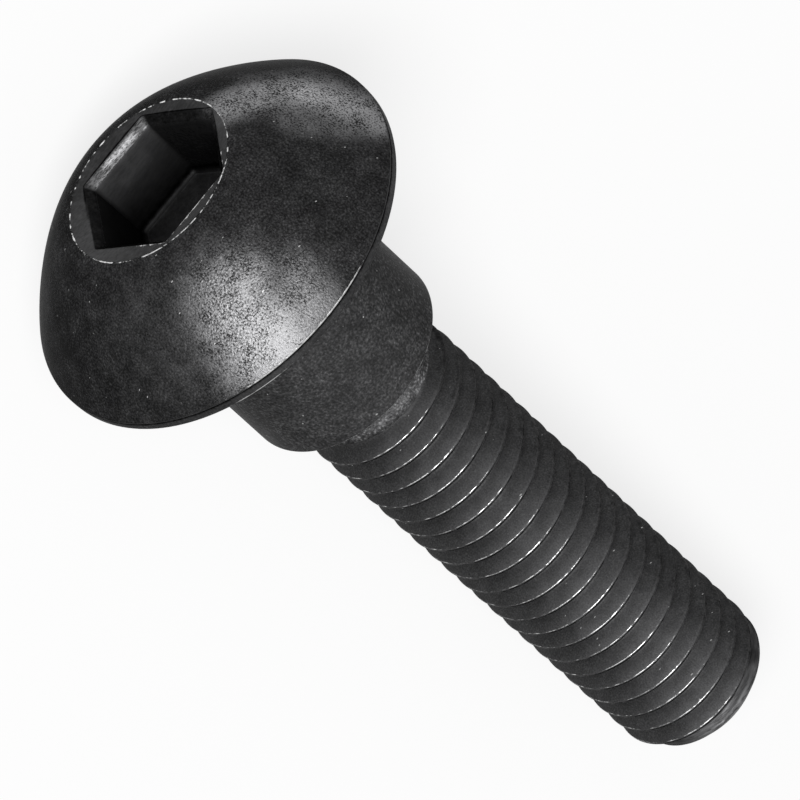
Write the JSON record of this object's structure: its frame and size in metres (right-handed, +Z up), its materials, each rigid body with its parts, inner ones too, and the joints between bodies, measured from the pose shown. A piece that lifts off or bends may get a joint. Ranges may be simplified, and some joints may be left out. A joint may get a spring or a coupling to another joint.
{
  "type": "button head shoulder screw",
  "caption": "Black steel screw with a domed button head, hexagon socket, plain locating shoulder and a right-hand metric thread.",
  "frame": {"origin": "centre of the bounding box, on the surface that the screw lies on", "axes": "+X along the screw from head to tip, +Z up; the axis dips 8.3 degrees towards the tip, because the screw lies on its head's rim and its last thread"},
  "size_m": [0.0448, 0.0188, 0.0188],
  "materials": {
    "black_steel": "black oxide, satin, finely grained, with bare bright steel along worn edges and thread crests"
  },
  "bodies": {
    "root": {"screw": "black_steel"}
  },
  "joints": []
}
